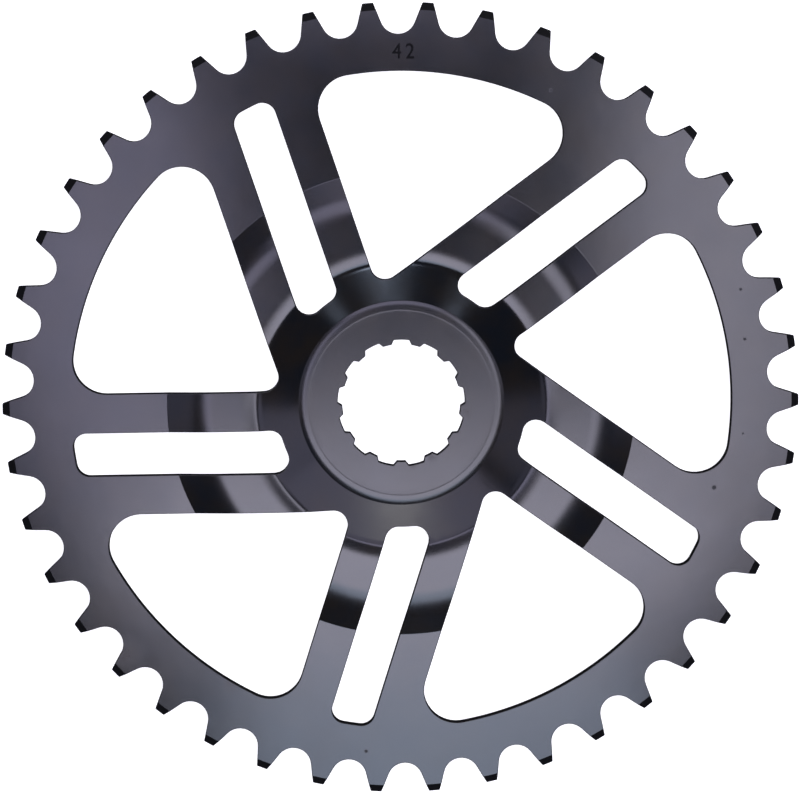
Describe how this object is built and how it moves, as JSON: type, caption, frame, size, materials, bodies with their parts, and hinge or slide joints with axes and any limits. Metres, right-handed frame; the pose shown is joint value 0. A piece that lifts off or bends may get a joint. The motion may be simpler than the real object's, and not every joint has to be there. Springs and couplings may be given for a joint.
{
  "type": "bicycle chainring",
  "caption": "Pressed steel bicycle chainring with a toothed rim, paired dished arms between windows, and a splined hub hole that slips onto a crank.",
  "frame": {"origin": "on the turning axis, in the plane of the hub's back face", "axes": "+Z along the turning axis towards the front face, +Y through the middle of a spline groove"},
  "size_m": [0.1758, 0.1756, 0.0062],
  "materials": {
    "black_steel": "semi-gloss black coat on pressed steel, smooth, with faint handling marks"
  },
  "bodies": {
    "root": {"chainring": "black_steel"}
  },
  "joints": []
}
